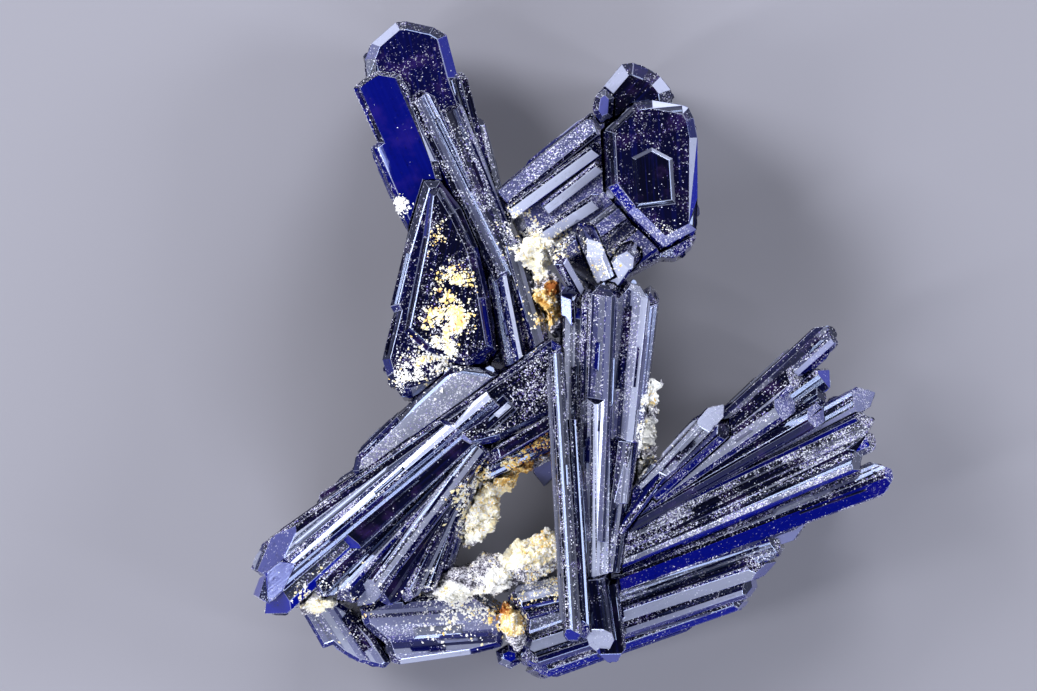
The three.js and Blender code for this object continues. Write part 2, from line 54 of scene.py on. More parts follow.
def spot(px, py):  # a place in the photographed frame, in mm on the table plane
    x = view["middle"][0] + (px - view["imageWide"] / 2) * view["mmPerPixel"]
    y = view["middle"][1] - (py - view["imageHigh"] / 2) * view["mmPerPixel"]
    return Vector((x, y))


def setCamera():
    data = bpy.data.cameras.new("camera")
    data.sensor_width = view["sensor"]
    data.lens = view["lens"]
    data.clip_start, data.clip_end = view["clip"]
    camera = bpy.data.objects.new("camera", data)
    bpy.context.scene.collection.objects.link(camera)
    wide = view["imageWide"] * view["mmPerPixel"]
    away = wide * view["lens"] / view["sensor"]
    camera.location = Vector((*view["middle"], view["focusHeight"] + away)) * mm
    bpy.context.scene.camera = camera


class Sock:  # one output of a node; sums on it add Math nodes
    def __init__(self, shader, socket):
        self.shader = shader
        self.socket = socket

    def math(self, operation, first, second):
        return self.shader.node("ShaderNodeMath", {"operation": operation}, {0: first, 1: second})

    def other(self, name):
        return Sock(self.shader, self.socket.node.outputs[name])

    def __add__(self, value):
        return self.math("ADD", self, value)

    def __radd__(self, value):
        return self.math("ADD", value, self)

    def __sub__(self, value):
        return self.math("SUBTRACT", self, value)

    def __rsub__(self, value):
        return self.math("SUBTRACT", value, self)

    def __mul__(self, value):
        return self.math("MULTIPLY", self, value)

    def __rmul__(self, value):
        return self.math("MULTIPLY", value, self)

    def __lt__(self, value):
        return self.math("LESS_THAN", self, value)

    def __gt__(self, value):
        return self.math("GREATER_THAN", self, value)


surfaceSockets = {"colour": "Base Color", "roughness": "Roughness", "metallic": "Metallic", "normal": "Normal",
                  "ior": "IOR", "specular": "Specular IOR Level", "sheen": "Specular Tint"}


class Finish:  # one material and its nodes
    def __init__(self, name):
        self.material = bpy.data.materials.new(name)
        self.material.use_nodes = True
        self.tree = self.material.node_tree
        self.surface = self.tree.nodes["Principled BSDF"]

    def node(self, kind, settings, sockets, output=0):
        made = self.tree.nodes.new(kind)
        for key, value in settings.items():
            if key == "stops":
                while len(made.color_ramp.elements) < len(value):
                    made.color_ramp.elements.new(0.5)
                for stop, (at, colour) in zip(made.color_ramp.elements, value):
                    stop.position = at
                    stop.color = (*colour, 1)
            else:
                setattr(made, key, value)
        for key, value in sockets.items():
            self.feed(made.inputs[key], value)
        return Sock(self, made.outputs[output])

    def feed(self, socket, value):
        if isinstance(value, Sock):
            self.tree.links.new(value.socket, socket)
        else:
            socket.default_value = value

    def set(self, **values):
        for key, value in values.items():
            self.feed(self.surface.inputs[surfaceSockets[key]], value)

    def mixed(self, first, second, share):
        return self.node("ShaderNodeMix", {"data_type": "RGBA"}, {0: share, 6: first, 7: second}, 2)

    def vectors(self, operation, sockets, output=0):
        return self.node("ShaderNodeVectorMath", {"operation": operation}, sockets, output)

    def places(self):  # object coordinates in mm
        return self.vectors("SCALE", {0: self.node("ShaderNodeTexCoord", {}, {}, "Object"), "Scale": perMetre})

    def painted(self, name, output="Fac"):  # what the mesh holds for each face or point
        return self.node("ShaderNodeAttribute", {"attribute_name": name}, {}, output)

    def noise(self, places, scale, detail, rough):
        return self.node("ShaderNodeTexNoise", {}, {"Vector": places, "Scale": scale, "Detail": detail,
                                                    "Roughness": rough})

    def cells(self, places, scale, output):
        return self.node("ShaderNodeTexVoronoi", {}, {"Vector": places, "Scale": scale}, output)

    def chances(self, colour):  # three random numbers of a cell
        return self.node("ShaderNodeSeparateColor", {}, {"Color": colour}, "Red")

    def band(self, value, ends):  # 0 under the low end, 1 over the high one
        return self.node("ShaderNodeMapRange", {"interpolation_type": "SMOOTHSTEP"},
                         {"Value": value, "From Min": ends[0], "From Max": ends[1]})

    def bump(self, height, strength, depth):
        return self.node("ShaderNodeBump", {}, {"Height": height, "Strength": strength, "Distance": depth})


azuriteLook = {
    # the lavender grey is painted glare of the lamps and backdrop
    "dark": (0.0014, 0.0014, 0.007, 1), "deep": (0.002, 0.003, 0.045, 1), "blue": (0.0, 0.003, 0.23, 1),
    # the white and violet dust colours are specks of crystal dust, painted as glints
    "violet": (0.03, 0.013, 0.075, 1), "pale": (0.7, 0.74, 0.97, 1), "dust": (0.92, 0.92, 1.0, 1),
    "violetDustGlints": (0.2, 0.15, 0.5, 1), "sheen": (0.55, 0.66, 1.0, 1), "ior": 1.76, "gloss": 0.05,
    # noise: scale per mm, detail and roughness; cells per mm; how far the hairlines are drawn out
    "hairlines": (5.0, 4.0, 0.6), "clouds": (0.5, 3.0, 0.55), "grain": (3.2, 3.0, 0.55),
    "salt": 11.0, "specks": 7.0, "drawnOut": 0.97,
    # the noise values between which a colour comes in
    "deepBand": (0.45, 0.75), "violetBand": (0.5, 0.75), "blueBand": (0.4, 0.95), "paintedGlareBand": (0.0, 0.95),
    "dustGlintsBand": (0.38, 0.85), "saltBand": (0.98, 1.25), "whiteBand": (0.1, 0.55),
    "violetShare": 0.5, "dustGlintsInLines": 0.3, "speckReach": 0.3, "speckShare": 0.3, "saltShare": 0.36,
    "grainRough": 0.1, "speckRough": 0.3, "paintedGlareMetal": 0.3,
    "speckHeight": 0.8, "bump": 0.3, "bumpDepth": 0.00002}


def makeAzurite():
    look = azuriteLook
    finish = Finish("azurite")
    at = finish.places()
    blue, dust, pale = [finish.painted(name) for name in ("blueness", "dust", "pale")]
    axis = finish.painted("growthAxis", "Vector")
    # places squeezed along the growth axis, so that noise runs in lines along the crystal
    along = finish.vectors("DOT_PRODUCT", {0: at, 1: axis}, "Value")
    shift = finish.vectors("SCALE", {0: axis, "Scale": along * look["drawnOut"]})
    lines = finish.vectors("SUBTRACT", {0: at, 1: shift})
    hair = finish.noise(lines, *look["hairlines"])
    cloud = finish.noise(at, *look["clouds"])
    fine = finish.noise(at, *look["grain"])
    # dust of tiny crystals, its white specks painted glints: fine salt everywhere, and fewer bright points
    amount = dust * finish.band(cloud + hair * look["dustGlintsInLines"], look["dustGlintsBand"])
    salt = finish.chances(finish.cells(at, look["salt"], "Color"))
    cells = finish.cells(at, look["specks"], "Distance")
    parts = finish.chances(cells.other("Color"))
    speck = (cells < look["speckReach"]) * (parts > 1.0 - amount * look["speckShare"]) * parts.other("Green")
    speck = speck + finish.band(salt + amount * look["saltShare"], look["saltBand"]) * salt.other("Green")
    tint = finish.mixed(look["violetDustGlints"], look["dust"], finish.band(salt.other("Blue"), look["whiteBand"]))
    body = finish.mixed(look["dark"], look["deep"], finish.band(hair, look["deepBand"]))
    body = finish.mixed(body, look["violet"], finish.band(cloud, look["violetBand"]) * look["violetShare"])
    body = finish.mixed(body, look["blue"], blue * finish.band(hair + fine, look["blueBand"]))
    # painted glare: facets are mixed towards lavender grey and made partly metallic, standing in for reflected
    # lamps and backdrop
    body = finish.mixed(body, look["pale"], pale * finish.band(hair + fine, look["paintedGlareBand"]))
    finish.set(colour=finish.mixed(body, tint, speck), metallic=pale * look["paintedGlareMetal"],
               roughness=look["gloss"] + fine * look["grainRough"] + speck * look["speckRough"],
               ior=look["ior"], sheen=look["sheen"],
               normal=finish.bump(hair + speck * look["speckHeight"], look["bump"], look["bumpDepth"]))
    return finish.material


# druse grains in three brightnesses of one material: the white and grey ones are painted glints, the dark one
# is the body
druseLook = {"white": (0.86, 0.86, 0.97, 1), "grey": (0.3, 0.28, 0.44, 1), "dark": (0.01, 0.01, 0.07, 1),
             "roughness": 0.12, "ior": 1.9}


def makeDruse(shade):
    finish = Finish("druse_" + shade)
    finish.set(colour=druseLook[shade], roughness=druseLook["roughness"], ior=druseLook["ior"])
    return finish.material


clayLook = {
    "white": (0.98, 0.97, 0.93), "cream": (0.98, 0.91, 0.68), "yellow": (0.9, 0.6, 0.18),
    "rust": (0.36, 0.11, 0.02),
    "stops": {"white": 0.3, "cream": 0.45, "yellow": 0.62, "rust": 0.85},
    # where the clay is thin: dark crystal dust, with white salt specks that are painted glints
    "dustWithGlints": (0.12, 0.11, 0.15, 1), "salt": (0.85, 0.83, 0.9, 1),
    # noise: scale per mm, detail and roughness; cells per mm
    "patches": (0.9, 4.0, 0.6), "grain": (5.0, 4.0, 0.7), "saltCells": 9.0,
    "tintPatches": 0.6, "tintGrain": 0.45, "tintShift": 0.42, "saltPatches": 0.4, "saltBand": (0.55, 0.95),
    "coverPatches": 0.5, "coverGrain": 0.4, "coverShift": 0.45, "coverBand": (0.3, 0.5),
    "roughness": 0.72, "grainRough": 0.25, "specular": 0.3, "bump": 0.6, "bumpDepth": 0.00006}


def makeClay():
    look = clayLook
    finish = Finish("clay")
    at = finish.places()
    warm, cover = finish.painted("warmth"), finish.painted("cover")
    patches = finish.noise(at, *look["patches"])
    grain = finish.noise(at, *look["grain"])
    warmth = warm + patches * look["tintPatches"] + grain * look["tintGrain"] - look["tintShift"]
    stops = [(level, look[shade]) for shade, level in look["stops"].items()]
    tint = finish.node("ShaderNodeValToRGB", {"stops": stops}, {"Fac": warmth})
    # where the clay is thin, crystal dust shows through it, its white salt specks painted glints
    salt = finish.chances(finish.cells(at, look["saltCells"], "Color"))
    dustWithGlints = finish.mixed(look["dustWithGlints"], look["salt"],
                         finish.band(salt + patches * look["saltPatches"], look["saltBand"]))
    thick = cover + patches * look["coverPatches"] + grain * look["coverGrain"] - look["coverShift"]
    finish.set(colour=finish.mixed(dustWithGlints, tint, finish.band(thick, look["coverBand"])),
               roughness=look["roughness"] + grain * look["grainRough"], specular=look["specular"],
               normal=finish.bump(grain, look["bump"], look["bumpDepth"]))
    return finish.material


def addPiece(name, mesh, materials, nodes=()):
    for material in materials:
        mesh.materials.append(material)
    piece = bpy.data.objects.new(name, mesh)
    bpy.context.scene.collection.objects.link(piece)
    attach(piece, "root")
    if nodes:
        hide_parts(*nodes)
    return piece


def solidOf(node):  # the node's solid in mm, with its corners joined
    bm = bmesh.new()
    bm.from_mesh(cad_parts[node].data)
    bm.transform(toMm)
    bmesh.ops.remove_doubles(bm, verts=bm.verts[:], dist=weld)
    return bm


crystals = {
    "flat": 1.0, "sameWay": 0.998, "samePlane": 0.9998, "planeReach": 0.03,  # degrees, cosines, mm
    # a rim may get painted glare, as a painted edge highlight
    "edge": 0.07, "edgeShare": 0.3, "leastEdge": 0.004, "edgeRound": 0.8, "rimPaintedGlare": (0, 0, 0.25),
    "grow": 0.1, "growAbove": 0.2, "ungrown": ("upper_right_block",),
    "longFacet": 2.2, "slender": 1.5, "leastWide": 0.4,  # facets that carry stripes
    # the chances of a facet without a look of its own: middle and spread, or from and to; the second is the
    # chance of painted glare
    "blue": (-0.25, 0.4), "pale": (-0.45, 0.35), "shadeSteep": 1.6, "shadeBlue": (0.3, 1.3), "dustGlintsPower": 0.7,
    "relief": (0.4, 0.6),  # of a facet with a look of its own, and what its painted glare adds
    "dustWithGlintsElse": 0.9,
    # how much crystal dust, with its painted glints, each crystal carries
    "dustWithGlints": {"left_fan": 2.4, "right_fan": 3.0, "column": 2.2, "lower_bars": 2.2, "needle": 1.6,
              "inner_spears": 2.2, "striated_plate": 2.6, "upper_left_blades": 1.8, "lower_left_crystal": 1.6,
              "upper_right_block": 0.6}}

# facets with a look of their own, by crystal: the pixel where each is seen in the photographed frame, its
# shares of blue body colour, painted glare and crystal dust with painted glints, and 1 if it is plain or 0 if
# it may carry stripes
facetLooks = {
    "upper_left_blades": {
        "capBevel": (377, 45, 0.1, 0.6, 0.3, 1), "capCorner": (440, 38, 0.7, 0.0, 0.2, 1),
        "capFace": (415, 70, 0.1, 0.0, 0.5, 1), "palePrism": (430, 150, 0.1, 0.6, 0.2, 0),
        "footGlare": (510, 312, 0.0, 1.0, 0.2, 0), "blueBlade": (400, 192, 0.45, 0.0, 0.02, 1),
        "dustGlintsSide": (480, 160, 0.1, 0.2, 1.8, 0), "dustGlintsFoot": (490, 235, 0.1, 0.1, 2.0, 0)},
    "wedge_crystal": {
        "tip": (418, 225, 0.0, 0.0, 0.9, 1), "face": (440, 300, 0.0, 0.0, 0.9, 1),
        "knob": (400, 360, 0.05, 0.0, 0.9, 1)},
    "striated_plate": {
        "leftGround": (540, 168, 0.3, 0.1, 1.9, 1), "middleGround": (568, 205, 0.6, 0.1, 2.0, 1),
        "upperStripe": (553, 178, 0.0, 1.0, 0.1, 1), "middleStripe": (575, 185, 0.0, 1.0, 0.1, 1),
        "lowerStripe": (568, 219, 0.0, 1.0, 0.1, 1), "rightGround": (600, 225, 0.6, 0.1, 2.0, 1),
        "footStep": (585, 275, 0.1, 0.6, 0.6, 1), "footLedge": (587, 266, 0.1, 0.7, 0.8, 1),
        "footSliver": (609.5, 263, 0.1, 0.6, 0.6, 1), "footCorner": (580, 265, 0.1, 0.6, 1.2, 1)},
    "upper_right_block": {
        "face": (640, 135, 0.03, 0.0, 0.5, 1), "leftBevel": (625, 205, 0.8, 0.0, 1.2, 1),
        "topBevel": (658, 106, 0.0, 1.0, 0.0, 1), "topCorner": (683, 110, 0.0, 0.8, 0.0, 1),
        "rightBevel": (691, 160, 0.1, 0.5, 0.1, 1), "rightFoot": (691, 215, 0.9, 0.0, 0.2, 1),
        "footCorner": (675, 236, 1.0, 0.25, 1.4, 1), "footBevel": (649, 226, 1.0, 0.2, 1.6, 1),
        "raisedTopLeft": (641.3, 155.4, 0.0, 0.1, 0.0, 1), "raisedTopRight": (660.2, 155.8, 0.0, 0.5, 0.0, 1),
        "raisedRight": (671.1, 182.2, 0.0, 0.1, 0.0, 1), "raisedFace": (655, 180, 0.0, 0.0, 0.15, 1),
        "raisedLeft": (634.3, 184, 0.0, 0.0, 0.1, 1), "raisedFoot": (654, 205.3, 0.0, 0.0, 0.1, 1)},
    "upper_right_back": {
        "leftBevel": (622, 77, 0.1, 0.5, 0.2, 1), "rightBevel": (655, 84, 0.1, 0.7, 0.1, 1)},
    "upper_right_bud": {"face": (605, 100, 0.8, 0.1, 0.2, 1)},
    "junction_crystal_1": {"face": (568, 272, 0.3, 0.4, 0.3, 1)},
    "junction_crystal_2": {"face": (566, 309, 0.6, 0.0, 2.6, 1)},
    "junction_crystal_3": {
        "face": (595, 258, 0.0, 1.0, 0.1, 1), "top": (590, 250, 0.1, 0.8, 0.5, 1),
        "leftSide": (591, 264, 0.1, 0.8, 0.3, 1), "rightSide": (605, 266, 0.1, 0.5, 0.3, 1)},
    "junction_crystal_4": {
        "face": (615, 268, 0.0, 1.0, 0.1, 1), "tip": (620, 262, 0.2, 0.7, 0.4, 1)},
    "window_crystal": {
        "upperFace": (545, 456, 1.0, 0.0, 0.1, 1), "lowerFace": (545, 473, 0.8, 0.15, 0.1, 1)},
    "column": {
        "leftEdge": (577, 330, 0.0, 0.3, 1.0, 0), "leftPrism": (588, 340, 0.1, 0.35, 1.6, 0),
        "middlePrism": (600, 350, 0.3, 0.15, 1.8, 0), "frontPrism": (616, 340, 0.3, 0.25, 1.8, 0),
        "palePrism": (643, 340, 0.2, 0.5, 0.9, 0), "rightEdge": (653, 330, 0.2, 0.1, 1.2, 0),
        "glare": (596, 420, 0.0, 0.9, 0.4, 0), "glareFoot": (600, 445, 0.0, 0.6, 1.5, 0),
        "leftFoot": (589, 466, 0.1, 0.35, 1.6, 0), "rightFoot": (613, 499, 0.1, 0.35, 1.8, 0),
        "rightPrism": (637, 370, 0.1, 0.55, 0.9, 0)},
    "needle": {"shaft": (566, 540, 0.0, 0.1, 1.3, 0), "foot": (578, 632, 1.0, 0.0, 0.1, 1)},
    "short_prism": {"end": (600, 632, 0.1, 0.7, 1.0, 1), "endBevel": (606, 656, 1.0, 0.1, 0.1, 1)},
    "side_plate": {"face": (410, 425, 0.0, 0.35, 2.0, 1)},
    "left_fan": {
        "darkTop": (340, 488, 0.0, 0.0, 0.2, 0), "root": (525, 390, 0.0, 0.0, 1.6, 1),
        "paleBlade": (400, 467, 0.0, 0.6, 1.0, 0), "paleBladeEnd": (330, 520, 0.0, 0.6, 0.9, 0),
        "upperTip": (277, 556, 0.6, 0.1, 0.5, 1), "middleTip": (283, 572, 0.7, 0.1, 0.4, 1),
        "lowerTip": (279, 602, 1.0, 0.0, 0.05, 1), "outerTip": (262, 583, 1.0, 0.0, 0.1, 1),
        "darkBlade": (450, 462, 0.0, 0.0, 0.15, 0), "dustGlintsBlade": (430, 490, 0.0, 0.4, 1.6, 0),
        "stepEnd": (346, 550, 1.0, 0.0, 0.1, 1), "stepEndTop": (354, 543, 1.0, 0.0, 0.1, 1),
        "shortEnd": (367, 590, 0.2, 0.3, 0.6, 1), "innerBlade": (400, 550, 0.0, 0.3, 1.6, 0),
        "innermostBlade": (420, 575, 0.1, 0.3, 1.6, 0)},
    "right_fan": {
        "blueSide": (700, 556, 0.65, 0.0, 0.3, 1), "longestBlade": (866, 480, 0.0, 0.2, 2.2, 0),
        "secondEnd": (815, 408, 0.6, 0.15, 1.5, 1), "firstEnd": (783, 403, 0.6, 0.15, 1.5, 1),
        "upperSide": (780, 376, 0.1, 0.15, 1.6, 0), "upperBlade": (798, 370, 0.6, 0.4, 0.4, 1),
        "upperEnd": (826, 374, 1.0, 0.05, 0.2, 1), "thirdEnd": (862, 400, 0.5, 0.2, 1.6, 1),
        "secondBlade": (812, 430, 0.6, 0.3, 1.2, 1), "middleBlade": (760, 470, 0.0, 0.1, 3.0, 0),
        "firstBlade": (760, 410, 0.1, 0.4, 1.6, 0), "lowerBlade": (720, 520, 0.1, 0.2, 3.0, 0)},
    "inner_spears": {"tip": (711, 414, 0.0, 0.7, 0.9, 1), "blade": (690, 440, 0.0, 0.6, 0.9, 0)},
    "lower_bars": {
        "backBar": (540, 597, 0.0, 0.6, 0.4, 0), "middleBar": (690, 592, 0.1, 0.5, 0.4, 1),
        "frontSide": (646, 640, 0.9, 0.0, 0.5, 1), "middleSide": (685, 616, 0.6, 0.0, 0.5, 1),
        "topBar": (770, 545, 0.1, 0.15, 2.0, 0), "middleEnd": (755, 585, 1.0, 0.2, 0.1, 1),
        "topEnd": (790, 535, 0.9, 0.3, 0.1, 1), "upperEnd": (762, 572, 1.0, 0.1, 0.1, 1),
        "lowerEnd": (751, 591, 1.0, 0.1, 0.1, 1), "lowestEnd": (744, 604, 1.0, 0.1, 0.1, 1)},
    "lower_left_crystal": {
        "top": (420, 640, 0.5, 0.3, 2.0, 0), "frontEdge": (420, 657, 0.0, 0.7, 0.1, 1),
        "brokenEnd": (340, 635, 0.4, 0.6, 1.4, 0)},
    "bottom_chip": {"face": (508, 658, 1.0, 0.0, 0.3, 1)}}


def facetMesh(node):  # the node's solid with flat facets instead of triangles
    bm = solidOf(node)
    bmesh.ops.dissolve_limit(bm, angle_limit=math.radians(crystals["flat"]), verts=bm.verts[:],
                             edges=bm.edges[:])
    bm.normal_update()
    bm.faces.index_update()
    bm.verts.index_update()
    return bm


def growthAxis(face):  # direction that most of the outline runs along
    best, bestLength = None, 0
    sides = [(e.verts[1].co - e.verts[0].co) for e in face.edges]
    for side in sides:
        way = side.normalized()
        total = sum(s.length for s in sides if abs(s.normalized().dot(way)) > crystals["sameWay"])
        if total > bestLength:
            best, bestLength = way, total
    return best


def facetCharacter(face, rng, dustWithGlints):
    steep = 1 - abs(face.normal.z)
    # sides turned to the lower edge get more blue body colour, as painted shade from how the light falls on
    # them
    shade = max(0, -face.normal.y) * min(1, steep * crystals["shadeSteep"])
    blue = max(0, rng.gauss(*crystals["blue"])) + shade * rng.uniform(*crystals["shadeBlue"])
    return {"blue": min(1, blue), "dust": dustWithGlints * rng.random() ** crystals["dustGlintsPower"],
            "pale": min(1, max(0, rng.gauss(*crystals["pale"]))), "plain": False, "relief": 1}


def seenLooks(node, bm):  # the looks of the facets that are topmost at the listed places
    tree = BVHTree.FromPolygons([v.co for v in bm.verts], [[v.index for v in face.verts] for face in bm.faces])
    found = {}
    for px, py, blue, pale, dust, plain in facetLooks.get(node, {}).values():
        hit, normal = tree.ray_cast(Vector((*spot(px, py), rayStart)), down)[:2]
        if hit is None:
            continue
        for face in bm.faces:  # a facet with a hole in it is several faces of one plane
            level = face.normal.dot(face.verts[0].co - hit)
            if face.normal.dot(normal) > crystals["samePlane"] and abs(level) < crystals["planeReach"]:
                found[face.index] = {"blue": blue, "pale": pale, "dust": dust, "plain": plain,
                                     "relief": crystals["relief"][0] + crystals["relief"][1] * pale}
    return found


def writeFacet(face, layers, look, axis):
    for key in ("blue", "dust", "pale"):
        face[layers[key]] = look[key]
    face[layers["axis"]] = axis


def insetFacets(bm, layers, rng):  # a narrow rim along every facet, rounded over into a small bright chamfer; some rims also get painted glare, as painted edge highlights
    outer = set(bm.verts)
    inner = []
    for face in list(bm.faces):
        width = 2 * face.calc_area() / max(face.calc_perimeter(), 1e-6)
        thickness = min(crystals["edge"], width * crystals["edgeShare"])
        if thickness > crystals["leastEdge"]:
            rim = bmesh.ops.inset_individual(bm, faces=[face], thickness=thickness, use_even_offset=False)
            for side in rim["faces"]:
                side[layers["pale"]] = max(face[layers["pale"]], rng.choice(crystals["rimPaintedGlare"]))
        inner.append(face)
    for v in outer:
        ring = [e.other_vert(v).co for e in v.link_edges if e.other_vert(v) not in outer]
        if ring:
            middle = sum(ring, Vector()) / len(ring)
            v.co = v.co.lerp(middle, crystals["edgeRound"])
    return inner


# a sliver takes part of its facet's painted glare, and some painted glare of its own
slivers = {"perMm": 1.1, "wide": (0.18, 0.9), "widest": 0.45, "margin": 0.6, "high": (0.06, 0.32),
           "leastRoom": 1.5, "leastLength": 0.9, "trim": (0.02, 0.55), "turn": 0.02, "pale": (-0.3, 0.35),
           "paintedGlareShare": 0.5, "highPerWide": 2, "tip": 0.35, "tipSlope": 2.2, "startTip": 0.6, "root": 0.08,
           # its outline: at the end or the tip, how far across and how high, as shares of its size
           "outline": (("end", 0.5, 0.4), ("tip", 0.22, 1), ("tip", -0.3, 0.85), ("end", -0.5, 0.3))}


def spanAcross(outline, s):  # longest stretch along the facet at the offset s
    hits = []
    for (u0, s0), (u1, s1) in zip(outline, outline[1:] + outline[:1]):
        if (s0 < s) != (s1 < s):
            hits.append(u0 + (u1 - u0) * (s - s0) / (s1 - s0))
    hits.sort()
    spans = list(zip(hits[::2], hits[1::2]))
    return max(spans, key=lambda p: p[1] - p[0]) if spans else None


def addSliver(bm, layers, look, base, axis, across, up, span, wide, high):  # a thin blade grown along a facet
    start, end = span
    tip = min(slivers["tip"] * (end - start), high * slivers["tipSlope"])
    rows = []
    for along in ({"end": start, "tip": start + tip * slivers["startTip"]}, {"end": end, "tip": end - tip}):
        row = [base + axis * along["end"] + across * wide * side - up * slivers["root"] for side in (-0.5, 0.5)]
        rows.append(row + [base + axis * along[place] + across * wide * side + up * high * rise
                           for place, side, rise in slivers["outline"]])
    near, far = [[bm.verts.new(p) for p in row] for row in rows]
    count = len(near)
    sides = [[near[i], near[(i + 1) % count], far[(i + 1) % count], far[i]] for i in range(count)]
    for corners in [near[::-1], far] + sides:
        writeFacet(bm.faces.new(corners), layers, look, axis)


def growSlivers(bm, layers, look, outline, base, axis, across, normal, rng):
    low, high = min(p[1] for p in outline), max(p[1] for p in outline)
    room = high - low
    for _ in range(int(room * slivers["perMm"] + rng.random())):
        wide = rng.uniform(slivers["wide"][0], min(slivers["wide"][1], room * slivers["widest"]))
        s = rng.uniform(low + wide * slivers["margin"], high - wide * slivers["margin"])
        span = spanAcross(outline, s)
        if not span or span[1] - span[0] < slivers["leastRoom"]:
            continue
        a, b = span
        first = a + (b - a) * rng.uniform(*slivers["trim"])
        last = b - (b - a) * rng.uniform(*slivers["trim"])
        if last - first < slivers["leastLength"]:
            continue
        own = {"blue": look["blue"] * rng.random(), "dust": rng.random(),
               "pale": min(1, max(0, look["pale"] * slivers["paintedGlareShare"] + rng.gauss(*slivers["pale"])))}
        turned = Matrix.Rotation(rng.gauss(0, slivers["turn"]), 3, normal)
        tall = rng.uniform(*slivers["high"]) * min(1, wide * slivers["highPerWide"])
        addSliver(bm, layers, own, base + across * s, turned @ axis, turned @ across, normal, (first, last),
                  wide, tall)


# a stripe's shares of crystal dust with painted glints, of blue, and of painted glare, with an extra painted
# glint
stripes = {"gap": (0.16, 0.5), "most": 20, "jitter": 0.38, "relief": 0.34, "height": (0.1, 1.0),
           "widestGap": 0.6, "turnBack": 0.75, "weld": 0.0005, "dust": (0.2, 0.6, 1, 1),
           "blue": (0.3, 0.8, 1), "pale": (0.1, 0.4, 1, 1), "glint": (-0.65, 0.35)}


def striateFacet(bm, face, layers, look, axis, rng):  # growth stripes along a facet, as ridges and furrows
    normal = face.normal.copy()
    across = normal.cross(axis).normalized()
    base = face.calc_center_median()
    outline = [((v.co - base).dot(axis), (v.co - base).dot(across)) for v in face.verts]
    low, high = min(p[1] for p in outline), max(p[1] for p in outline)
    count = min(stripes["most"], int((high - low) / rng.uniform(*stripes["gap"])))
    jitter = stripes["jitter"]
    cuts = sorted(low + (high - low) * (i + 1 + rng.uniform(-jitter, jitter)) / (count + 1)
                  for i in range(count))
    parts = [face]
    sign = rng.choice((-1, 1))
    moves = []
    for i, s in enumerate(cuts):
        geom = set(parts)
        for f in parts:
            geom.update(f.edges)
            geom.update(f.verts)
        done = bmesh.ops.bisect_plane(bm, geom=list(geom), dist=stripes["weld"], plane_co=base + across * s,
                                      plane_no=across)
        parts = [g for g in done["geom"] if isinstance(g, bmesh.types.BMFace)]
        gap = min(s - (cuts[i - 1] if i else low), (cuts[i + 1] if i + 1 < count else high) - s)
        height = sign * rng.uniform(*stripes["height"]) * stripes["relief"] * look["relief"]
        height *= min(gap, stripes["widestGap"])
        sign = -sign if rng.random() < stripes["turnBack"] else sign
        moves.append((height, [g for g in done["geom_cut"] if isinstance(g, bmesh.types.BMVert)]))
    for height, verts in moves:
        for v in verts:
            if v.is_valid:
                v.co += normal * height
    for part in parts:  # every stripe takes its own share of crystal dust with painted glints, of blue, and of painted glare
        part[layers["dust"]] = look["dust"] * rng.choice(stripes["dust"])
        part[layers["blue"]] = look["blue"] * rng.choice(stripes["blue"])
        pale = look["pale"] * rng.choice(stripes["pale"]) + max(0, rng.gauss(*stripes["glint"]))
        part[layers["pale"]] = min(1, pale)
    growSlivers(bm, layers, look, outline, base, axis, across, normal, rng)


def growCrystal(node, material, seed):
    rng = random.Random(seed)
    bm = facetMesh(node)
    looks = seenLooks(node, bm)
    layers = {"blue": bm.faces.layers.float.new("blueness"), "dust": bm.faces.layers.float.new("dust"),
              "pale": bm.faces.layers.float.new("pale"),
              "axis": bm.faces.layers.float_vector.new("growthAxis")}
    dustWithGlints = crystals["dustWithGlints"].get(node, crystals["dustWithGlintsElse"])
    characters = {}
    for face in bm.faces:
        characters[face] = facetCharacter(face, rng, dustWithGlints) | looks.get(face.index, {})
        writeFacet(face, layers, characters[face], growthAxis(face))
    for v in bm.verts:  # crystals close up the seams to their neighbours
        if v.co.z > crystals["growAbove"] and node not in crystals["ungrown"]:
            v.co += v.normal * crystals["grow"]
    bm.normal_update()
    inner = insetFacets(bm, layers, rng)
    bm.normal_update()
    for face in inner:
        axis = growthAxis(face)
        across = face.normal.cross(axis)
        lengths = [v.co.dot(axis) for v in face.verts]
        widths = [v.co.dot(across) for v in face.verts]
        long, wide = max(lengths) - min(lengths), max(widths) - min(widths)
        slender = long > crystals["longFacet"] and long > crystals["slender"] * wide
        if slender and wide > crystals["leastWide"] and not characters[face]["plain"]:
            striateFacet(bm, face, layers, characters[face], axis, rng)
    for v in bm.verts:  # nothing reaches below the table
        v.co.z = max(v.co.z, 0)
    bm.transform(toMetres)
    mesh = bpy.data.meshes.new(node + "_grown")
    bm.to_mesh(mesh)
    bm.free()
    return addPiece(node + "_grown", mesh, [material], [node])


# the grains come in the white and grey of painted glints and the dark of the body, by these weights
grains = {"perSquareMm": 6.5, "mostDustGlints": 1.3, "glintShades": {"white": 42, "grey": 28, "dark": 30},
          "size": (0.018, 0.05), "base": ((1, 0), (-0.5, 0.87), (-0.5, -0.87)), "lean": 0.5, "sunk": 0.3,
          "tall": 0.9, "patchScale": 0.6, "fringe": 0.4, "bare": -0.1,
          "leastArea": 1e-4, "leastHeight": 0.05, "leastTurn": 0.05, "seed": 7}


def grainPoints(at, normal, rng):  # a leaning three-sided grain, or None where its turn can't be told
    size = rng.uniform(*grains["size"])
    turn = Vector((rng.gauss(0, 1), rng.gauss(0, 1), rng.gauss(0, 1))).normalized()
    side = normal.cross(turn)
    if side.length < grains["leastTurn"]:
        return None
    side.normalize()
    front = normal.cross(side)
    most = grains["lean"]
    lean = side * rng.uniform(-most, most) + front * rng.uniform(-most, most)
    foot = [at + side * size * u + front * size * v - normal * size * grains["sunk"] for u, v in grains["base"]]
    return foot + [at + (normal + lean) * size * grains["tall"]]


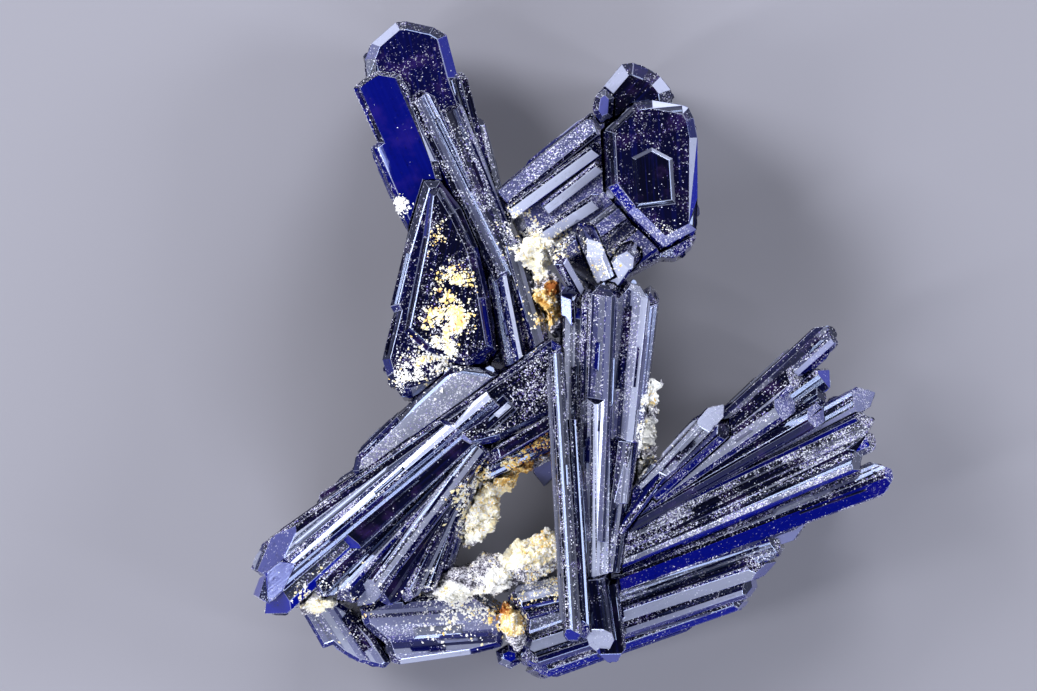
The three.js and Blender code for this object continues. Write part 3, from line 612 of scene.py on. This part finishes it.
def scatterDruse(pieces, materials):  # tiny crystals on the facets with crystal dust, in one mesh; the white and grey grains are painted glints
    rng = random.Random(grains["seed"])
    sides = ((0, 1, 3), (1, 2, 3), (2, 0, 3), (0, 2, 1))
    weights = list(grains["glintShades"].values())
    verts, faces, slots = [], [], []
    for piece in pieces:
        mesh = piece.data
        mesh.calc_loop_triangles()
        dust = mesh.attributes["dust"].data
        for tri in mesh.loop_triangles:
            share = min(grains["mostDustGlints"], dust[tri.polygon_index].value)
            a, b, c = (mesh.vertices[i].co * perMetre for i in tri.vertices)
            normal = (b - a).cross(c - a)
            area = normal.length / 2
            if area < grains["leastArea"] or min(a.z, b.z, c.z) < grains["leastHeight"]:
                continue
            normal.normalize()
            hope = area * grains["perSquareMm"] * share
            count = int(hope) + (rng.random() < hope - int(hope))
            for _ in range(count):
                u, v = rng.random(), rng.random()
                if u + v > 1:
                    u, v = 1 - u, 1 - v
                at = a + (b - a) * u + (c - a) * v
                patch = noise.noise(at * grains["patchScale"])
                if patch + rng.uniform(-grains["fringe"], grains["fringe"]) < grains["bare"]:
                    continue
                points = grainPoints(at, normal, rng)
                if points:
                    faces += [[len(verts) + i for i in side] for side in sides]
                    verts += points
                    slots += rng.choices(range(len(weights)), weights) * len(sides)
    mesh = bpy.data.meshes.new("druse")
    mesh.from_pydata([v * mm for v in verts], [], faces)
    mesh.polygons.foreach_set("material_index", slots)
    print("druse:", len(faces), "triangles")
    return addPiece("druse", mesh, materials, ())


crust = {"voxel": 0.12, "clodsPerSquareMm": 0.35, "clodSize": (0.15, 0.45), "clodSunk": 0.3,
         "clodRelief": 0.35, "clodScale": 1.7, "clodMiddle": 0.5, "lumps": 0.6, "lumpScale": 0.8,
         "lumpNoise": (0.9, 2.2, 4), "grit": 0.14, "gritScale": 6, "sink": 0.3, "leastHeight": 0.05,
         "coverGain": 1.6, "leastWeight": 1e-6}

# clay seen in the photographed frame: x, y and reach in pixels, and warmth from white to rust
claySpots = {
    "aboveColumn": (535, 250, 26, 0.28), "aboveColumnLeft": (520, 265, 12, 0.22),
    "columnHead": (542, 310, 16, 0.52), "columnHeadRust": (552, 288, 7, 0.9),
    "columnHeadFoot": (540, 328, 9, 0.5),
    "leftOfHole": (482, 492, 30, 0.38), "leftOfHoleFoot": (472, 520, 20, 0.25),
    "holeCorner": (500, 470, 18, 0.5), "holeTop": (520, 462, 12, 0.7), "windowRust": (545, 443, 10, 0.95),
    "belowHole": (535, 540, 22, 0.36), "belowHoleFoot": (498, 580, 11, 0.15),
    "belowHoleLeft": (512, 556, 12, 0.3), "belowHoleRight": (556, 533, 10, 0.4),
    "lowerLeftTop": (452, 600, 16, 0.15), "lowerLeftEnd": (480, 600, 10, 0.2),
    "besideColumnTop": (650, 392, 12, 0.12), "besideColumn": (648, 432, 12, 0.16),
    "besideColumnFoot": (642, 468, 11, 0.22), "fanFoot": (318, 594, 16, 0.3),
    "lowerBars": (514, 622, 12, 0.45), "lowerBarsRust": (503, 607, 6, 0.9),
    "wedgeTop": (458, 290, 20, 0.55), "wedgeMiddle": (450, 330, 22, 0.46), "wedgeFoot": (440, 365, 22, 0.2)}


def clayAt(places):  # how much clay shows at each place (mm), and its warmth
    total, warm, most = crust["leastWeight"], 0, np.zeros(len(places))
    for px, py, reach, warmth in claySpots.values():
        away = np.linalg.norm(places - np.array(spot(px, py)), axis=1) / (reach * view["mmPerPixel"])
        weight = np.exp(-away ** 2)
        total = total + weight
        warm = warm + weight * warmth
        most = np.maximum(most, weight)
    return np.minimum(1, most * crust["coverGain"]), warm / total


def paintClay(mesh):
    places = np.empty(len(mesh.vertices) * 3)
    mesh.vertices.foreach_get("co", places)
    cover, warmth = clayAt(places.reshape(-1, 3)[:, :2])
    mesh.attributes.new("cover", "FLOAT", "POINT").data.foreach_set("value", cover)
    mesh.attributes.new("warmth", "FLOAT", "POINT").data.foreach_set("value", warmth)


def remeshed(mesh, voxel):  # overlapping lumps merged into one skin
    lump = bpy.data.objects.new(mesh.name, mesh)
    bpy.context.scene.collection.objects.link(lump)
    remesh = lump.modifiers.new("remesh", "REMESH")
    remesh.mode = "VOXEL"
    remesh.voxel_size = voxel
    solid = bpy.data.meshes.new_from_object(lump.evaluated_get(bpy.context.evaluated_depsgraph_get()))
    bpy.data.objects.remove(lump)
    return solid


def roughen(solid):  # clods, lumps and grit on the skin
    normals = [v.normal.copy() for v in solid.vertices]
    places = [v.co.copy() for v in solid.vertices]
    for i, (at, way) in enumerate(zip(places, normals)):
        clod = (crust["clodMiddle"] - noise.voronoi(at * crust["clodScale"])[0][0]) * crust["clodRelief"]
        out = clod + noise.fractal(at * crust["lumpScale"], *crust["lumpNoise"]) * crust["lumps"]
        places[i] = at + way * (out + noise.noise(at * crust["gritScale"]) * crust["grit"] - crust["sink"])
        places[i].z = max(places[i].z, crust["leastHeight"])
    solid.vertices.foreach_set("co", [c for p in places for c in p])
    solid.update()


def makeCrust(node, material, seed):
    rng = random.Random(seed)
    bm = solidOf(node)
    faces = list(bm.faces)
    weights = [f.calc_area() for f in faces]
    for face in rng.choices(faces, weights, k=int(sum(weights) * crust["clodsPerSquareMm"])):
        size = rng.uniform(*crust["clodSize"])
        place = Matrix.Translation(face.calc_center_median() - face.normal * size * crust["clodSunk"])
        bmesh.ops.create_icosphere(bm, subdivisions=1, radius=size, matrix=place)
    mesh = bpy.data.meshes.new(node + "_lump")
    bm.to_mesh(mesh)
    bm.free()
    solid = remeshed(mesh, crust["voxel"])
    roughen(solid)
    paintClay(solid)
    solid.transform(toMetres)
    solid.name = node + "_clay"
    solid.materials.clear()
    return addPiece(node + "_clay", solid, [material], [node])


flecks = {"scale": 0.75, "clumpNoise": (0.9, 2.1, 3), "fringe": 0.16, "bare": -0.12, "low": 4.0, "high": 16.6,
          "spread": 0.55, "size": (0.3, 1), "smaller": 1.4, "lean": 0.35, "turn": (0, 6.28),
          "corner": (0.6, 1.3), "skew": 0.15, "flat": 0.55, "roughness": 0.6, "specular": 0.4,
          "thickWarm": 0.3, "toneShift": (-0.08, 0.17), "toneSteps": (0.36, 0.6, 0.9), "seed": 5}
fleckTones = {"clay_white": (0.98, 0.96, 0.93), "clay_cream": (0.95, 0.82, 0.5),
              "clay_yellow": (0.96, 0.66, 0.22), "clay_rust": (0.52, 0.22, 0.05)}

# flecks of clay on the crystals and crusts: x, y and reach in pixels, how many, largest radius in mm
fleckFields = {
    "wedgeTop": (456, 285, 15, 700, 0.15), "wedgeMiddle": (450, 320, 17, 1000, 0.16),
    "wedgeFoot": (440, 352, 22, 1200, 0.16), "knob": (415, 372, 16, 500, 0.13),
    "wedgeTip": (438, 240, 14, 130, 0.1), "bladeFoot": (400, 205, 9, 220, 0.13),
    "knobFoot": (405, 380, 14, 260, 0.12), "aboveColumn": (535, 245, 22, 1300, 0.15),
    "plateCorner": (518, 225, 16, 420, 0.12), "columnHead": (542, 305, 15, 700, 0.15),
    "lowerLeftTop": (465, 600, 30, 900, 0.14), "lowerLeftMiddle": (438, 602, 22, 600, 0.13),
    "belowHole": (540, 545, 22, 1500, 0.16), "belowHoleRight": (545, 575, 24, 1100, 0.12),
    "belowHoleLeft": (490, 585, 28, 1600, 0.13), "fanFoot": (315, 595, 16, 420, 0.14),
    "lowerLeftEnd": (360, 605, 30, 300, 0.1), "lowerBars": (512, 622, 12, 420, 0.15),
    "leftOfHole": (484, 495, 22, 2200, 0.17), "leftOfHoleFoot": (474, 520, 16, 900, 0.15),
    "holeTop": (515, 465, 16, 420, 0.14), "window": (543, 444, 10, 220, 0.13),
    "besideColumnTop": (648, 395, 12, 700, 0.14), "besideColumn": (645, 435, 14, 1000, 0.15),
    "besideColumnFoot": (640, 470, 12, 500, 0.14), "bladesFoot": (535, 355, 14, 120, 0.09),
    "junction": (600, 256, 26, 600, 0.1), "plateFoot": (560, 240, 18, 300, 0.1),
    "blockFoot": (655, 232, 24, 300, 0.07)}


def makeFlecks(tone):
    finish = Finish(tone)
    finish.set(colour=(*fleckTones[tone], 1), roughness=flecks["roughness"], specular=flecks["specular"])
    return finish.material


def scatterFlecks(carriers, materials):  # flat eight-sided crumbs, in one mesh
    rng = random.Random(flecks["seed"])
    verts, polygons = [], []
    for piece in carriers:
        start = len(verts)
        verts += [v.co * perMetre for v in piece.data.vertices]
        polygons += [[start + i for i in p.vertices] for p in piece.data.polygons]
    tree = BVHTree.FromPolygons(verts, polygons)
    corners = [Vector(c) for c in ((1, 0, 0), (0, 1, 0), (-1, 0, 0), (0, -1, 0), (0, 0, 1), (0, 0, -1))]
    sides = [(i, (i + 1) % 4, 4) for i in range(4)] + [((i + 1) % 4, i, 5) for i in range(4)]
    points, faces, spots, thick = [], [], [], []
    lean, skew = flecks["lean"], flecks["skew"]
    for px, py, reach, count, largest in fleckFields.values():
        spread = reach * flecks["spread"]
        for _ in range(count):
            at = spot(px + rng.gauss(0, spread), py + rng.gauss(0, spread))
            hit, normal = tree.ray_cast(Vector((*at, rayStart)), down)[:2]
            if hit is None or not flecks["low"] < hit.z < flecks["high"]:
                continue
            clump = noise.fractal(hit * flecks["scale"], *flecks["clumpNoise"])
            if clump + rng.gauss(0, flecks["fringe"]) < flecks["bare"]:
                continue
            size = largest * rng.uniform(*flecks["size"]) ** flecks["smaller"] * (1 + max(0, clump))
            up = normal + Vector((rng.gauss(0, lean), rng.gauss(0, lean), rng.gauss(0, lean)))
            turn = up.to_track_quat("Z", "Y").to_matrix()
            turn = turn @ Matrix.Rotation(rng.uniform(*flecks["turn"]), 3, "Z")
            start = len(points)
            for corner in corners:
                reached = corner * rng.uniform(*flecks["corner"])
                reached += Vector((rng.gauss(0, skew), rng.gauss(0, skew), 0))
                reached.z *= flecks["flat"]
                points.append(hit + turn @ reached * size)
            faces += [[start + i for i in side] for side in sides]
            spots.append(at)
            thick.append(max(0, clump))
    warmth = clayAt(np.array(spots))[1]
    slots = []
    for warm, clump in zip(warmth, thick):  # thick clay is yellower
        tone = warm + clump * flecks["thickWarm"] + rng.gauss(*flecks["toneShift"])
        slots += [sum(int(tone > step) for step in flecks["toneSteps"])] * len(sides)
    mesh = bpy.data.meshes.new("clay_flecks")
    mesh.from_pydata([p * mm for p in points], [], faces)
    mesh.polygons.foreach_set("material_index", slots)
    print("flecks:", len(faces), "triangles")
    return addPiece("clay_flecks", mesh, materials, ["crust_on_wedge"])


# soft lights: from and size in mm, radiance, colour
lights = {
    "keyLeft": ((-430, 260, 290), (240, 200), 19.0, (0.93, 0.95, 1)),
    "highLeft": ((-390, 210, 470), (140, 220), 9.5, (0.93, 0.95, 1)),
    "fillRight": ((480, 60, 250), (190, 180), 16.0, (0.88, 0.92, 1)),
    "lowFront": ((40, -470, 300), (280, 160), 14.0, (0.85, 0.9, 1)),
    "backTop": ((120, 460, 260), (240, 160), 12.5, (0.9, 0.93, 1)),
    "stripLeft": ((-330, -120, 210), (40, 300), 24.0, (0.94, 0.96, 1)),
    "stripTop": ((150, 420, 380), (300, 36), 20.0, (0.94, 0.96, 1)),
    "stripRight": ((400, -150, 300), (36, 280), 15.0, (0.9, 0.94, 1))}
studio = {"aim": (0, 0, 8), "air": (0.5, 0.52, 0.62, 1), "airStrength": 0.06,
          "floor": (0.26, 0.255, 0.29, 1), "floorRoughness": 0.9, "floorSpecular": 0.1, "floorReach": 6}


def setLights():
    for name, (place, size, radiance, colour) in lights.items():
        data = bpy.data.lights.new(name, "AREA")
        data.shape = "RECTANGLE"
        data.size, data.size_y = size[0] * mm, size[1] * mm
        data.energy = radiance * math.pi * data.size * data.size_y
        data.color = colour
        lamp = bpy.data.objects.new(name, data)
        lamp.location = Vector(place) * mm
        lamp.rotation_mode = "QUATERNION"
        lamp.rotation_quaternion = (Vector(studio["aim"]) - Vector(place)).to_track_quat("-Z", "Y")
        lamp.visible_camera = False
        bpy.context.scene.collection.objects.link(lamp)
    bpy.context.scene.view_settings.view_transform = "Standard"
    world = bpy.data.worlds.new("studio")
    world.use_nodes = True
    world.node_tree.nodes["Background"].inputs["Color"].default_value = studio["air"]
    world.node_tree.nodes["Background"].inputs["Strength"].default_value = studio["airStrength"]
    bpy.context.scene.world = world


def setFloor():
    bm = bmesh.new()
    bmesh.ops.create_grid(bm, x_segments=2, y_segments=2, size=studio["floorReach"])
    mesh = bpy.data.meshes.new("floor")
    bm.to_mesh(mesh)
    bm.free()
    finish = Finish("floor")
    finish.set(colour=studio["floor"], roughness=studio["floorRoughness"], specular=studio["floorSpecular"])
    mesh.materials.append(finish.material)
    floor = bpy.data.objects.new("floor", mesh)
    bpy.context.scene.collection.objects.link(floor)


setCamera()
setLights()
setFloor()
print("camera, lights and floor set")

azurite = makeAzurite()
clay = makeClay()
druse = [makeDruse(shade) for shade in grains["glintShades"]]
nodes = sorted(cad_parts)

grown = [growCrystal(node, azurite, number)
         for number, node in enumerate(node for node in nodes if not node.startswith("crust"))]
print("crystals grown:", len(grown))
clays = [makeCrust(node, clay, number) for number, node in enumerate(nodes)
         if node.startswith("crust") and node != "crust_on_wedge"]
print("crusts made:", len(clays))
scatterFlecks(grown + clays, [makeFlecks(tone) for tone in fleckTones])
scatterDruse(grown, druse)
